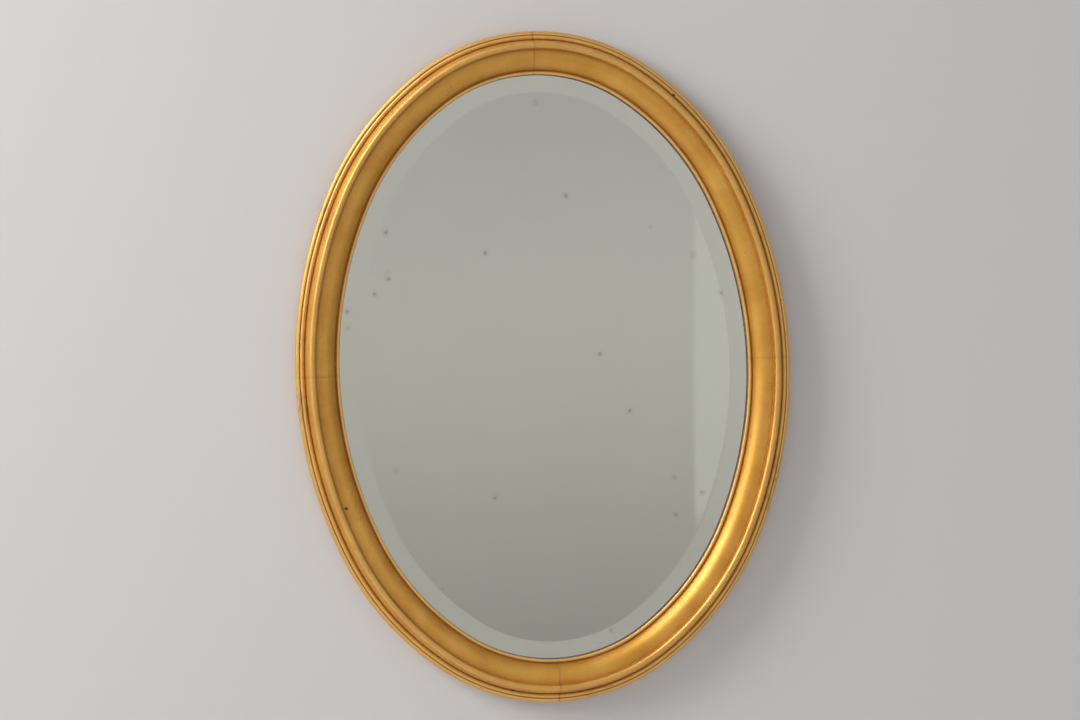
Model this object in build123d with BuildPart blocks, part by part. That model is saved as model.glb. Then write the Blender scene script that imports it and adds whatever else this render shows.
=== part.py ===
from build123d import *
import math
import os

# Oval bevelled mirror in a gilded wooden frame, in millimetres. The front faces -Y, +Z is up, and the
# origin is the middle of the whole mirror. The edge of the glass is the master curve: every other
# outline is measured outwards from it, and heights are measured forwards from the back of the frame.
# The oval is set out with compass arcs, three to a quarter, that keep within half a millimetre of a
# true ellipse, so each stretch of moulding is turned about the centre of its own arc.

os.makedirs("parts", exist_ok=True)

# Mirror plate
glass_half_width = 250.0
glass_half_height = 353.0
arc_samples = (13.0, 49.0, 80.0)
glass_thickness = 5.0
bevel_width = 25.0
bevel_drop = 2.0
silver_thickness = 0.2

# Pieces behind and around the plate
card_thickness = 1.5
board_thickness = 4.0
board_clearance = 1.0
packer_length = 26.0
packer_gap = 0.1
seat_gap = 0.2

# Moulding: overall section
glass_lap = 5.0
moulding_width = 52.0
frame_depth = 36.0
glass_clearance = 2.0

# Moulding: members, from the outer edge to the sight edge
side_taper = 1.2
side_height = 10.5
shoulder_width = 4.4
shoulder_height = 15.0
shoulder_radius = 4.6
outer_quirk_width = 1.2
outer_quirk_depth = 1.0
bead_radius = 2.6
bead_foot = 0.5
scotia_width = 5.0
scotia_drop = 7.5
scotia_radius = 22.0
ridge_radius = 3.6
ridge_wrap = 25.0
ridge_wall_slope = 0.8
cove_step = 1.0
cove_drop = 8.7
cove_foot = 14.2
cove_radius = 19.5
lip_quirk_width = 1.0
lip_quirk_depth = 1.0
lip_radius = 2.0

# Loose tongues in the four segment joints
tongue_length = 30.0
tongue_width = 24.0
tongue_thickness = 6.0
tongue_height = 8.0
tongue_inset = 23.0
mortise_gap = 0.1

# Turn buttons and their screws
button_length = 28.0
button_width = 9.0
button_thickness = 1.2
button_reach = 10.0
button_play = 0.1
screw_radius = 1.75
screw_length = 11.0
screw_point = 3.0
screw_head_radius = 3.3
screw_head_height = 2.0
screw_head_rim = 0.8
screw_crown = 0.6
pivot_clearance = 0.05
pilot_gap = 0.05

# Hanger: plate with a rolled eye, and the ring that turns in it
ring_wire_radius = 1.3
ring_half_width = 12.0
ring_corner_radius = 3.0
ring_side = 5.0
eye_clearance = 0.05
plate_thickness = 1.0
plate_width = 56.0
plate_height = 15.0
plate_rise = 4.0
plate_corner_radius = 5.0
eye_width = 12.0
eye_rise = 4.0
hanger_screw_spacing = 40.0

# Wall pads
pad_inset = 23.0
pad_radius = 10.0
pad_thickness = 6.0
pad_bevel = 1.0

# Where the repeated pieces stand on the oval: the direction in degrees, from +X towards +Z, that the
# glass edge faces there
segment_starts = {"top_right": 0, "top_left": 90, "bottom_left": 180, "bottom_right": 270}
tongue_directions = {"right": 0, "top": 90, "left": 180, "bottom": 270}
button_directions = [60, 16, 344, 300, 240, 196, 164, 120]
packer_directions = [0, 35, 90, 145, 180, 215, 270, 325]
pad_directions = {"left": 215, "right": 325}

# Derived sizes
scotia_top = frame_depth - scotia_drop
cove_top = frame_depth - cove_drop
back_y = (frame_depth - pad_thickness) / 2
outer_edge = moulding_width - glass_lap
lap_thickness = glass_thickness - bevel_drop * (1 - glass_lap / bevel_width)
glass_back = board_thickness + card_thickness + silver_thickness
rabbet_depth = glass_back + lap_thickness + seat_gap
pivot_out = button_length - button_width / 2 - button_reach - board_clearance + glass_clearance
pilot_radius = screw_radius + pilot_gap
eye_inner = ring_wire_radius + eye_clearance
eye_outer = eye_inner + plate_thickness
plate_foot_z = glass_half_height + glass_clearance + plate_rise
plate_middle_z = plate_foot_z + plate_height / 2
eye_z = plate_foot_z + plate_height + eye_rise
tongue_out = outer_edge - tongue_inset
pad_out = outer_edge - pad_inset
front = Vector(0, -1, 0)
rear = Vector(0, 1, 0)


def ellipse_radius(angle):
    """Radius of curvature of the true ellipse at a parameter angle."""
    across = glass_half_width * math.sin(math.radians(angle))
    along = glass_half_height * math.cos(math.radians(angle))
    return math.hypot(across, along) ** 3 / (glass_half_width * glass_half_height)


def first_quarter():
    """The three arcs from the right-hand side to the top: centre, radius, first and last direction."""
    side_radius, haunch_radius, end_radius = [ellipse_radius(angle) for angle in arc_samples]
    side_x = glass_half_width - side_radius
    end_z = glass_half_height - end_radius
    near = side_radius - haunch_radius
    far = haunch_radius - end_radius
    span = math.hypot(side_x, end_z)
    lean = math.atan2(end_z, -side_x)
    side_last = lean - math.acos((span**2 + near**2 - far**2) / (2 * span * near))
    end_first = lean + math.acos((span**2 + far**2 - near**2) / (2 * span * far))
    haunch = (side_x + near * math.cos(side_last), near * math.sin(side_last))
    return [
        ((side_x, 0), side_radius, 0, math.degrees(side_last)),
        (haunch, haunch_radius, math.degrees(side_last), math.degrees(end_first)),
        ((0, end_z), end_radius, math.degrees(end_first), 90),
    ]


def quarter_arcs(start):
    """The arcs of the quarter that starts at 0, 90, 180 or 270 degrees, in order."""
    flip_x = -1 if start in (90, 180) else 1
    flip_z = -1 if start in (180, 270) else 1
    mirrored = start in (90, 270)
    arcs = []
    for (x, z), radius, first, last in first_quarter():
        if mirrored:
            first, last = 90 - last, 90 - first
        arcs.append(((flip_x * x, flip_z * z), radius, start + first, start + last))
    return arcs[::-1] if mirrored else arcs


oval_arcs = [arc for start in segment_starts.values() for arc in quarter_arcs(start)]


def arc_at(direction):
    """Centre and radius of the arc of the glass edge that faces a direction."""
    for (x, z), radius, first, last in oval_arcs:
        if first <= direction % 360 <= last:
            return Vector(x, back_y, z), radius


def glass_edge(direction, outwards=0.0):
    """Point on the frame's back, outwards from the glass edge, and the outward unit vector there."""
    centre, radius = arc_at(direction)
    turn = math.radians(direction)
    outward = Vector(math.cos(turn), 0, math.sin(turn))
    return centre + outward * (radius + outwards), outward


def section_plane(direction):
    """Plane across the frame: x points outwards from the glass edge, y points to the front."""
    point, outward = glass_edge(direction)
    return Plane(origin=point, x_dir=outward, z_dir=outward.cross(front))


def rear_plane(direction, outwards, behind=0.0):
    """Plane parallel to the frame's back: x points outwards, z points to the wall."""
    point, outward = glass_edge(direction, outwards)
    return Plane(origin=point + rear * behind, x_dir=outward, z_dir=rear)


def oval_plane(height):
    """Plane of the whole oval at a height above the frame's back, facing the front."""
    return Plane.XZ.offset(height - back_y)


# Outline of the glass, drawn once
with BuildSketch() as glass_oval:
    with BuildLine():
        for centre, radius, first, last in oval_arcs:
            CenterArc(centre, radius, first, last - first)
    make_face()

# Moulding section, drawn once: x outwards from the glass edge, y forwards from the frame's back
with BuildSketch() as moulding_section:
    with BuildLine():
        outer_quirk_x = outer_edge - shoulder_width
        outer_quirk_y = shoulder_height - outer_quirk_depth
        bead_x = outer_quirk_x - outer_quirk_width - bead_radius
        scotia_x = bead_x - bead_radius - bead_foot
        ridge_x = scotia_x - scotia_width - ridge_radius * math.cos(math.radians(ridge_wrap))
        ridge_y = frame_depth - ridge_radius
        lip_x = lip_radius - glass_lap
        lip_quirk_x = lip_x + lip_radius
        cove_foot_x = lip_quirk_x + lip_quirk_width
        lip_y = cove_foot - lip_quirk_depth

        side = Line((outer_edge - side_taper, 0), (outer_edge, side_height))
        shoulder = RadiusArc(side @ 1, (outer_quirk_x, shoulder_height), -shoulder_radius)
        bead = CenterArc((bead_x, shoulder_height), bead_radius, 0, 180)
        quirk_out = (outer_quirk_x, outer_quirk_y)
        quirk_in = (outer_quirk_x - outer_quirk_width, outer_quirk_y)
        Polyline(shoulder @ 1, quirk_out, quirk_in, bead @ 0)
        foot = Line(bead @ 1, (scotia_x, shoulder_height))
        scotia = RadiusArc(foot @ 1, (scotia_x - scotia_width, scotia_top), scotia_radius)
        ridge = CenterArc((ridge_x, ridge_y), ridge_radius, -ridge_wrap, 180 + 2 * ridge_wrap)
        Line(scotia @ 1, ridge @ 0)
        ridge_wall_x = (ridge @ 1).X - ridge_wall_slope
        wall = Polyline(ridge @ 1, (ridge_wall_x, cove_top), (ridge_wall_x - cove_step, cove_top))
        cove = RadiusArc(wall @ 1, (cove_foot_x, cove_foot), cove_radius)
        lip = CenterArc((lip_x, cove_foot), lip_radius, 0, 180)
        Polyline(cove @ 1, (cove_foot_x, lip_y), (lip_quirk_x, lip_y), lip @ 0)
        Polyline(
            lip @ 1,
            (-glass_lap, rabbet_depth),
            (glass_clearance, rabbet_depth),
            (glass_clearance, 0),
            side @ 0,
        )
    make_face()

# Four curved segments, each turned about the three centres of its quarter
for corner, start in segment_starts.items():
    with BuildPart() as frame_segment:
        for (x, z), radius, first, last in quarter_arcs(start):
            with BuildSketch(section_plane(first)):
                add(moulding_section.sketch)
            revolve(axis=Axis((x, back_y, z), front), revolution_arc=last - first)
        for joint in (start, start + 90):
            with BuildSketch(section_plane(joint)):
                with Locations((tongue_out, tongue_height)):
                    Rectangle(tongue_width + 2 * mortise_gap, tongue_thickness + 2 * mortise_gap)
            extrude(amount=tongue_length / 2 + mortise_gap, both=True, mode=Mode.SUBTRACT)
        for direction in button_directions:
            if start < direction < start + 90:
                with BuildSketch(rear_plane(direction, pivot_out)):
                    Circle(pilot_radius)
                extrude(amount=-screw_length, mode=Mode.SUBTRACT)
        if "top" in corner:
            with BuildSketch(oval_plane(0)):
                with Locations((0, plate_middle_z)):
                    with GridLocations(hanger_screw_spacing, 0, 2, 1):
                        Circle(pilot_radius)
            extrude(amount=screw_length, mode=Mode.SUBTRACT)
    frame_segment.part.label = f"frame_segment_{corner}"
    export_step(frame_segment.part, f"parts/frame_segment_{corner}.step")

# Loose tongue glued across each joint
for side_name, direction in tongue_directions.items():
    with BuildPart() as tongue:
        with BuildSketch(section_plane(direction)):
            with Locations((tongue_out, tongue_height)):
                Rectangle(tongue_width, tongue_thickness)
        extrude(amount=tongue_length / 2, both=True)
    tongue.part.label = f"joint_tongue_{side_name}"
    export_step(tongue.part, f"parts/joint_tongue_{side_name}.step")

# Mirror plate: a flat oval whose front edge is ground to a broad, shallow bevel
with BuildPart() as mirror_glass:
    with BuildSketch(oval_plane(glass_back)):
        add(glass_oval.sketch)
    extrude(amount=glass_thickness)
    front_face = mirror_glass.faces().sort_by(Axis.Y)[0]
    chamfer(front_face.edges(), length=bevel_width, length2=bevel_drop, reference=front_face)
mirror_glass.part.label = "mirror_glass"
export_step(mirror_glass.part, "parts/mirror_glass.step")

# Silver with its protective paint, on the back of the plate
with BuildPart() as silvering:
    with BuildSketch(oval_plane(glass_back - silver_thickness)):
        add(glass_oval.sketch)
    extrude(amount=silver_thickness)
silvering.part.label = "silvering"
export_step(silvering.part, "parts/silvering.step")

# Packing card that keeps the back board off the silvering
with BuildPart() as packing_card:
    with BuildSketch(oval_plane(board_thickness)):
        add(glass_oval.sketch)
    extrude(amount=card_thickness)
packing_card.part.label = "packing_card"
export_step(packing_card.part, "parts/packing_card.step")

# Back board, flush with the back of the frame
with BuildPart() as back_board:
    with BuildSketch(oval_plane(0)):
        offset(glass_oval.sketch, amount=board_clearance)
    extrude(amount=board_thickness)
back_board.part.label = "back_board"
export_step(back_board.part, "parts/back_board.step")

# Cork slips that centre the plate in its rabbet
with BuildPart() as glass_packers:
    for direction in packer_directions:
        centre, radius = arc_at(direction)
        half_turn = math.degrees(packer_length / 2 / radius)
        with BuildSketch(section_plane(direction - half_turn)):
            with Locations((packer_gap, glass_back)):
                slip_width = glass_clearance - 2 * packer_gap
                Rectangle(slip_width, lap_thickness, align=(Align.MIN, Align.MIN))
        revolve(axis=Axis(centre, front), revolution_arc=2 * half_turn)
glass_packers.part.label = "glass_packers"
export_step(glass_packers.part, "parts/glass_packers.step")

# Turn buttons, each free to turn about its own screw
for number, direction in enumerate(button_directions, start=1):
    with BuildPart() as turn_button:
        with BuildSketch(rear_plane(direction, pivot_out, button_play)):
            with Locations(((button_width - button_length) / 2, 0)):
                SlotOverall(button_length, button_width)
            Circle(screw_radius + pivot_clearance, mode=Mode.SUBTRACT)
        extrude(amount=button_thickness)
    turn_button.part.label = f"turn_button_{number}"
    export_step(turn_button.part, f"parts/turn_button_{number}.step")


def screw_profile(plane, seat):
    """Half outline of a pan-head wood screw that stands on a plane at the frame's back."""
    profile_plane = Plane(origin=plane.origin, x_dir=plane.x_dir, z_dir=plane.x_dir.cross(rear))
    with BuildSketch(profile_plane) as profile:
        with BuildLine():
            Polyline(
                (0, seat + screw_head_height),
                (0, -screw_length),
                (screw_radius, screw_point - screw_length),
                (screw_radius, seat),
                (screw_head_radius, seat),
                (screw_head_radius, seat + screw_head_rim),
                (screw_head_radius * screw_crown, seat + screw_head_height),
                close=True,
            )
        make_face()
    return profile.sketch


# Screws of the turn buttons, with a running fit in the buttons
with BuildPart() as turn_button_screws:
    for direction in button_directions:
        pivot = rear_plane(direction, pivot_out)
        revolve(screw_profile(pivot, button_thickness + 2 * button_play), Axis(pivot.origin, rear))
turn_button_screws.part.label = "turn_button_screws"
export_step(turn_button_screws.part, "parts/turn_button_screws.step")

# Hanger plate, screwed on each side of the top joint, with its tongue rolled into an eye
with BuildPart() as hanger_plate:
    with BuildSketch(oval_plane(0)):
        with Locations((0, plate_middle_z)):
            RectangleRounded(plate_width, plate_height, plate_corner_radius)
            with GridLocations(hanger_screw_spacing, 0, 2, 1):
                Circle(screw_radius + pilot_gap, mode=Mode.SUBTRACT)
    extrude(amount=-plate_thickness)
    with BuildSketch(Plane(origin=(0, back_y, eye_z), x_dir=rear, z_dir=(1, 0, 0))):
        with BuildLine():
            eye_drop = math.sqrt(eye_outer**2 - eye_inner**2)
            Polyline(
                (0, 0),
                (0, -eye_rise - plate_height / 2),
                (plate_thickness, -eye_rise - plate_height / 2),
                (plate_thickness, -eye_drop),
            )
            ThreePointArc((plate_thickness, -eye_drop), (2 * eye_outer, 0), (0, 0))
        make_face()
        with Locations((eye_outer, 0)):
            Circle(eye_inner, mode=Mode.SUBTRACT)
    extrude(amount=eye_width / 2, both=True)
hanger_plate.part.label = "hanger_plate"
export_step(hanger_plate.part, "parts/hanger_plate.step")

# Ring, a closed D of round wire whose straight bar turns in the eye
with BuildPart() as hanger_ring:
    ring_axis = Vector(0, back_y + eye_outer, eye_z)
    with BuildLine(Plane(origin=ring_axis, x_dir=(1, 0, 0), z_dir=front)) as ring_run:
        bar = Line((0, 0), (ring_half_width - ring_corner_radius, 0))
        corner_arc = TangentArc(bar @ 1, (ring_half_width, ring_corner_radius), tangent=bar % 1)
        Line(corner_arc @ 1, (ring_half_width, ring_side))
        CenterArc((0, ring_side), ring_half_width, 0, 90)
        mirror(about=Plane.YZ)
    with BuildSketch(Plane(origin=ring_axis, x_dir=rear, z_dir=(1, 0, 0))):
        Circle(ring_wire_radius)
    sweep(path=ring_run.line)
hanger_ring.part.label = "hanger_ring"
export_step(hanger_ring.part, "parts/hanger_ring.step")

with BuildPart() as hanger_screws:
    for screw_x in (-hanger_screw_spacing / 2, hanger_screw_spacing / 2):
        screw_place = Plane(origin=(screw_x, back_y, plate_middle_z), x_dir=(1, 0, 0), z_dir=rear)
        revolve(screw_profile(screw_place, plate_thickness), Axis(screw_place.origin, rear))
hanger_screws.part.label = "hanger_screws"
export_step(hanger_screws.part, "parts/hanger_screws.step")

# Pads that stand the lower edge off the wall
for side_name, direction in pad_directions.items():
    with BuildPart() as wall_pad:
        with BuildSketch(rear_plane(direction, pad_out)):
            Circle(pad_radius)
        extrude(amount=pad_thickness)
        chamfer(wall_pad.faces().sort_by(Axis.Y)[-1].edges(), length=pad_bevel)
    wall_pad.part.label = f"wall_pad_{side_name}"
    export_step(wall_pad.part, f"parts/wall_pad_{side_name}.step")
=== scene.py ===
# %% [markdown]
# # An oval bevelled mirror in a gilded frame
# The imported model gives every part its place. This lesson dresses it: a moulding run round an oval and
# gilded, a plate of bevelled glass with aged silver behind it, and the woodwork and fittings of the back.
# The front faces -Y, +Z is up, and the sizes below are metres.

# %% Load the frame
import math
import bpy
from mathutils import Matrix, Vector


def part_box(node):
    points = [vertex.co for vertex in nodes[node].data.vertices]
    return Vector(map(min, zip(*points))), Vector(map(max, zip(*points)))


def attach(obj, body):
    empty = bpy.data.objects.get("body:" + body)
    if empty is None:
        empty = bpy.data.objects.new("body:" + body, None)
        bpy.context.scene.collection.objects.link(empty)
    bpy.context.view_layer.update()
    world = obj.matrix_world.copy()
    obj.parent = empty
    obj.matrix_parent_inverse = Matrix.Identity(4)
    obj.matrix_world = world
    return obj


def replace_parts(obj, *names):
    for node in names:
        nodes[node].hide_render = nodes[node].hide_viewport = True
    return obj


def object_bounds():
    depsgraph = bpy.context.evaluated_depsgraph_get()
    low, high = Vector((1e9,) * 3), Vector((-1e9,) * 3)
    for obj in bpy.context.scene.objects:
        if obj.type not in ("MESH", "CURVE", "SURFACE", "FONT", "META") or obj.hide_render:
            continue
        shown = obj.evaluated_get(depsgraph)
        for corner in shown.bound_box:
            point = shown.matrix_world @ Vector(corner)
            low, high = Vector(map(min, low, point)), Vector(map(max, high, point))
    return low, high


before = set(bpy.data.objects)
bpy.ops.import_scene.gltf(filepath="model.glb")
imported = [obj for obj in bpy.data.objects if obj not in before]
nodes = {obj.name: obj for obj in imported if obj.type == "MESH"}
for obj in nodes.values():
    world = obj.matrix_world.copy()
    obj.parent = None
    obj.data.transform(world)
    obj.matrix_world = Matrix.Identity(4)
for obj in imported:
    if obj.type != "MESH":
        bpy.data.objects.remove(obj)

cad_box = [list(corner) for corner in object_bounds()]
back_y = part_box("frame_segment_top_right")[1].y
print("frame", [round(v, 4) for v in cad_box[0] + cad_box[1]], "back of the frame at", round(back_y, 4))

# %% [markdown]
# ## Camera
# The photograph was taken from about 3 m away, 7 degrees to the left of the middle and slightly above it.
# A long lens keeps the oval nearly undistorted. The tilt of the oval in the picture is the camera's roll,
# because the mirror itself hangs straight.

# %% Camera
view_distance = 3.0
view_yaw, view_pitch, view_roll = (math.radians(a) for a in (6.958, 0.764, -2.343))
aim = Vector((-0.00677, 0.0, 0.00878))
backwards = Vector((
    -math.sin(view_yaw) * math.cos(view_pitch),
    -math.cos(view_yaw) * math.cos(view_pitch),
    math.sin(view_pitch),
))
level = Vector((0, 0, 1)).cross(backwards).normalized()
upright = backwards.cross(level)
rolled_right = level * math.cos(view_roll) + upright * math.sin(view_roll)
rolled_up = upright * math.cos(view_roll) - level * math.sin(view_roll)
scene = bpy.context.scene


def in_scene(name, data):
    """An object that holds some data, linked into the scene."""
    holder = bpy.data.objects.new(name, data)
    scene.collection.objects.link(holder)
    return holder


camera_data = bpy.data.cameras.new("camera")
camera_data.lens = 84.06
camera_data.sensor_width = 36.0
camera = in_scene("camera", camera_data)
turn = Matrix((rolled_right, rolled_up, backwards)).transposed().to_4x4()
camera.matrix_world = Matrix.Translation(aim + backwards * view_distance) @ turn
scene.camera = camera
scene.view_settings.view_transform = "Standard"
print("camera at", [round(v, 3) for v in camera.matrix_world.translation])


# %% [markdown]
# ## Node helpers
# Every finish is a small graph of nodes. A few helpers keep the cells below short: they add a node and fill
# its inputs, do sums, lay one colour over another, and start a material with its Principled shader.

# %% Node helpers
def linear(red, green, blue):
    """A colour as a picture editor shows it, 0 to 255, as the linear colour that Blender works in."""
    parts = [v / 255 for v in (red, green, blue)]
    return tuple(v / 12.92 if v <= 0.04045 else ((v + 0.055) / 1.055) ** 2.4 for v in parts) + (1.0,)


def feed(tree, socket, value):
    """Joins another socket to this one, or gives it a plain value."""
    if isinstance(value, bpy.types.NodeSocket):
        tree.links.new(value, socket)
    else:
        socket.default_value = value


def add_node(tree, kind, settings=None, **inputs):
    """A node with its settings and its inputs, by name or, as _0, _1 and so on, by number."""
    node = tree.nodes.new(kind)
    for name, value in (settings or {}).items():
        setattr(node, name, value)
    for name, value in inputs.items():
        key = int(name[1:]) if name[0] == "_" else name.replace("_", " ")
        feed(tree, node.inputs[key], value)
    return node


def math_node(tree, operation, first, second=0.0, clamp=False):
    settings = {"operation": operation, "use_clamp": clamp}
    return add_node(tree, "ShaderNodeMath", settings, _0=first, _1=second).outputs[0]


def times(tree, first, second, clamp=False):
    return math_node(tree, "MULTIPLY", first, second, clamp)


def plus(tree, first, second, clamp=False):
    return math_node(tree, "ADD", first, second, clamp)


def minus(tree, first, second, clamp=False):
    return math_node(tree, "SUBTRACT", first, second, clamp)


def distance_from(tree, value, centre):
    return math_node(tree, "ABSOLUTE", minus(tree, value, centre))


def largest(tree, first, *others):
    for other in others:
        first = math_node(tree, "MAXIMUM", first, other)
    return first


def mix_colours(tree, amount, below, above):
    return add_node(tree, "ShaderNodeMix", {"data_type": "RGBA"}, _0=amount, _6=below, _7=above).outputs[2]


def glaze(tree, mask, strength, below, above):
    """Lays one colour thinly over another, where a mask says."""
    return mix_colours(tree, times(tree, mask, strength), below, above)


def remap(tree, value, low, high, to_low=0.0, to_high=1.0, easing="LINEAR"):
    """Stretches the range low..high to the range to_low..to_high and holds it there."""
    return add_node(tree, "ShaderNodeMapRange", {"clamp": True, "interpolation_type": easing},
                    _0=value, _1=low, _2=high, _3=to_low, _4=to_high).outputs[0]


def new_material(name, **shader_values):
    """A material with one Principled shader, its plain values set on the shader's own sockets."""
    material = bpy.data.materials.new(name)
    material.use_nodes = True
    tree = material.node_tree
    shader = tree.nodes["Principled BSDF"]
    for key, value in shader_values.items():
        shader.inputs[key.replace("_", " ")].default_value = value
    return material, tree, shader


def attribute(tree, name, output="Fac"):
    return add_node(tree, "ShaderNodeAttribute", {"attribute_name": name}).outputs[output]


def object_place(tree):
    return add_node(tree, "ShaderNodeTexCoord").outputs["Object"]


def soft_noise(tree, place, scale, detail):
    return add_node(tree, "ShaderNodeTexNoise", Vector=place, Scale=scale, Detail=detail).outputs["Fac"]


def bump(tree, shader, height, strength, distance):
    node = add_node(tree, "ShaderNodeBump", Strength=strength, Distance=distance, Height=height)
    tree.links.new(node.outputs[0], shader.inputs["Normal"])


print("helpers ready")


# %% [markdown]
# ## Shared effects
# Mottling, speckles, wood grain and dust are the effects that finishes share, so each is a node group that
# is built once and gets other values in each material. A group only hands out masks and heights. The shader
# stays in the material, where the export can read it.

# %% Start a group
def new_group(name, inputs, outputs, kind="ShaderNodeTree"):
    """A group with named inputs (name, kind, value) and outputs (name, kind)."""
    group = bpy.data.node_groups.new(name, kind)
    for label, socket_kind, value in inputs:
        socket = group.interface.new_socket(label, in_out="INPUT", socket_type="NodeSocket" + socket_kind)
        if value is not None:
            socket.default_value = value
    for label, socket_kind in outputs:
        group.interface.new_socket(label, in_out="OUTPUT", socket_type="NodeSocket" + socket_kind)
    return group, group.nodes.new("NodeGroupInput").outputs, group.nodes.new("NodeGroupOutput").inputs


def use_group(tree, group, **inputs):
    return add_node(tree, "ShaderNodeGroup", {"node_tree": group}, **inputs).outputs


# %% Mottle: two sizes of soft cloud, for colour that is never quite even
mottle, start, end = new_group(
    "mottle",
    [("Place", "Vector", None), ("Scale", "Float", 40.0), ("Contrast", "Float", 0.5)],
    [("Mask", "Float"), ("Fine", "Float")],
)
broad = soft_noise(mottle, start["Place"], start["Scale"], 5.0)
fine = soft_noise(mottle, start["Place"], times(mottle, start["Scale"], 14.0), 3.0)
swing = times(mottle, minus(mottle, broad, 0.5), times(mottle, start["Contrast"], 4.0))
mottle.links.new(plus(mottle, swing, 0.5, True), end["Mask"])
mottle.links.new(fine, end["Fine"])

# %% Speckle: small irregular spots, some missing, for pin holes, foxing and dark flecks
speckle, start, end = new_group(
    "speckle",
    [("Place", "Vector", None), ("Scale", "Float", 200.0), ("Size", "Float", 0.2), ("Share", "Float", 0.3)],
    [("Mask", "Float")],
)
wander = soft_noise(speckle, start["Place"], times(speckle, start["Scale"], 1.7), 2.0)
cells = add_node(speckle, "ShaderNodeTexVoronoi", Vector=start["Place"], Scale=start["Scale"])
picked = add_node(speckle, "ShaderNodeSeparateColor", Color=cells.outputs["Color"])
kept = math_node(speckle, "LESS_THAN", picked.outputs[0], start["Share"])
reach = times(speckle, start["Size"], plus(speckle, picked.outputs[1], 0.4))
ragged = plus(speckle, cells.outputs["Distance"], times(speckle, wander, 0.22))
inside = minus(speckle, plus(speckle, reach, 0.11), ragged)
soft = times(speckle, inside, 14.0, True)
speckle.links.new(times(speckle, soft, kept), end["Mask"])

# %% Grain: long wavering fibres with pores, along the first coordinate
grain, start, end = new_group(
    "grain",
    [("Place", "Vector", None), ("Scale", "Float", 60.0)],
    [("Figure", "Float"), ("Pores", "Float")],
)
stretched = add_node(grain, "ShaderNodeMapping", Vector=start["Place"], Scale=(0.06, 1.0, 1.0)).outputs[0]
warp = soft_noise(grain, stretched, start["Scale"], 3.0)
rings = add_node(
    grain, "ShaderNodeTexWave", {"bands_direction": "Y", "wave_profile": "SAW"},
    Vector=stretched, Scale=start["Scale"], Distortion=6.0, Detail=3.0,
)
figure = plus(grain, times(grain, rings.outputs["Fac"], 0.5), times(grain, warp, 0.5))
pores = soft_noise(grain, stretched, times(grain, start["Scale"], 24.0), 2.0)
grain.links.new(figure, end["Figure"])
grain.links.new(pores, end["Pores"])

# %% Dust: settles where the surface looks up, and thins out in patches
dust, start, end = new_group(
    "dust", [("Place", "Vector", None), ("Amount", "Float", 0.3)], [("Mask", "Float")]
)
facing = add_node(dust, "ShaderNodeNewGeometry").outputs["Normal"]
upwards = add_node(dust, "ShaderNodeSeparateXYZ", Vector=facing).outputs["Z"]
patches = soft_noise(dust, start["Place"], 90.0, 4.0)
settled = times(dust, remap(dust, upwards, 0.1, 0.95), patches)
dust.links.new(times(dust, settled, start["Amount"], True), end["Mask"])
print("groups:", [g.name for g in bpy.data.node_groups])


# %% [markdown]
# ## The oval
# A frame maker sets out an oval with compass arcs, three to a quarter. The glass edge is the master
# line, and everything else is measured outwards from it. The three radii are those of a true ellipse at
# three places, and the arcs meet where they share a direction, so the line stays smooth.

# %% Setting out the oval
glass_half_width, glass_half_height = 0.250, 0.353
arc_samples = (13.0, 49.0, 80.0)


def ellipse_radius(angle):
    across = glass_half_width * math.sin(math.radians(angle))
    along = glass_half_height * math.cos(math.radians(angle))
    return math.hypot(across, along) ** 3 / (glass_half_width * glass_half_height)


def first_quarter():
    """The arcs from the right-hand side to the top: centre x, centre z, radius, first, last direction."""
    side_radius, haunch_radius, end_radius = [ellipse_radius(angle) for angle in arc_samples]
    side_x, end_z = glass_half_width - side_radius, glass_half_height - end_radius
    near, far = side_radius - haunch_radius, haunch_radius - end_radius
    span, lean = math.hypot(side_x, end_z), math.atan2(end_z, -side_x)
    side_last = lean - math.acos((span**2 + near**2 - far**2) / (2 * span * near))
    end_first = lean + math.acos((span**2 + far**2 - near**2) / (2 * span * far))
    haunch_x, haunch_z = side_x + near * math.cos(side_last), near * math.sin(side_last)
    return [
        (side_x, 0.0, side_radius, 0.0, side_last),
        (haunch_x, haunch_z, haunch_radius, side_last, end_first),
        (0.0, end_z, end_radius, end_first, math.pi / 2),
    ]


quarter_arcs = first_quarter()


def edge_point(direction):
    """Where the glass edge faces a direction (radians from +X towards +Z), and the outward direction."""
    outward = Vector((math.cos(direction), math.sin(direction)))
    folded = math.atan2(abs(outward.y), abs(outward.x))
    for x, z, radius, first, last in quarter_arcs:
        if folded <= last + 1e-9:
            centre = Vector((math.copysign(x, x * outward.x), math.copysign(z, z * outward.y)))
            return centre + outward * radius, outward


def oval_directions(first, last, step):
    """Directions along the oval so that the points are about one step apart."""
    directions = [first]
    while directions[-1] < last - 1e-9:
        folded = math.atan2(abs(math.sin(directions[-1])), abs(math.cos(directions[-1])))
        radius = next(arc[2] for arc in quarter_arcs if folded <= arc[4] + 1e-9)
        directions.append(directions[-1] + step / (radius + 0.03))
    scale = (last - first) / (directions[-1] - first)
    return [first + (d - first) * scale for d in directions]


print("radii", [round(arc[2], 4) for arc in quarter_arcs])

# %% [markdown]
# ## The section of the moulding
# From the outer edge inwards: a tapered side, a rounded shoulder, a quirk, a small bead, a hollow that
# climbs to the tall ridge, the ridge itself, a steep wall, a wide cove down to the glass, and a thin lip.
# The outline is made of lines and arcs, so it is kept as the few values that a maker would write down.
# Heights are measured forwards from the back of the frame.

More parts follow.
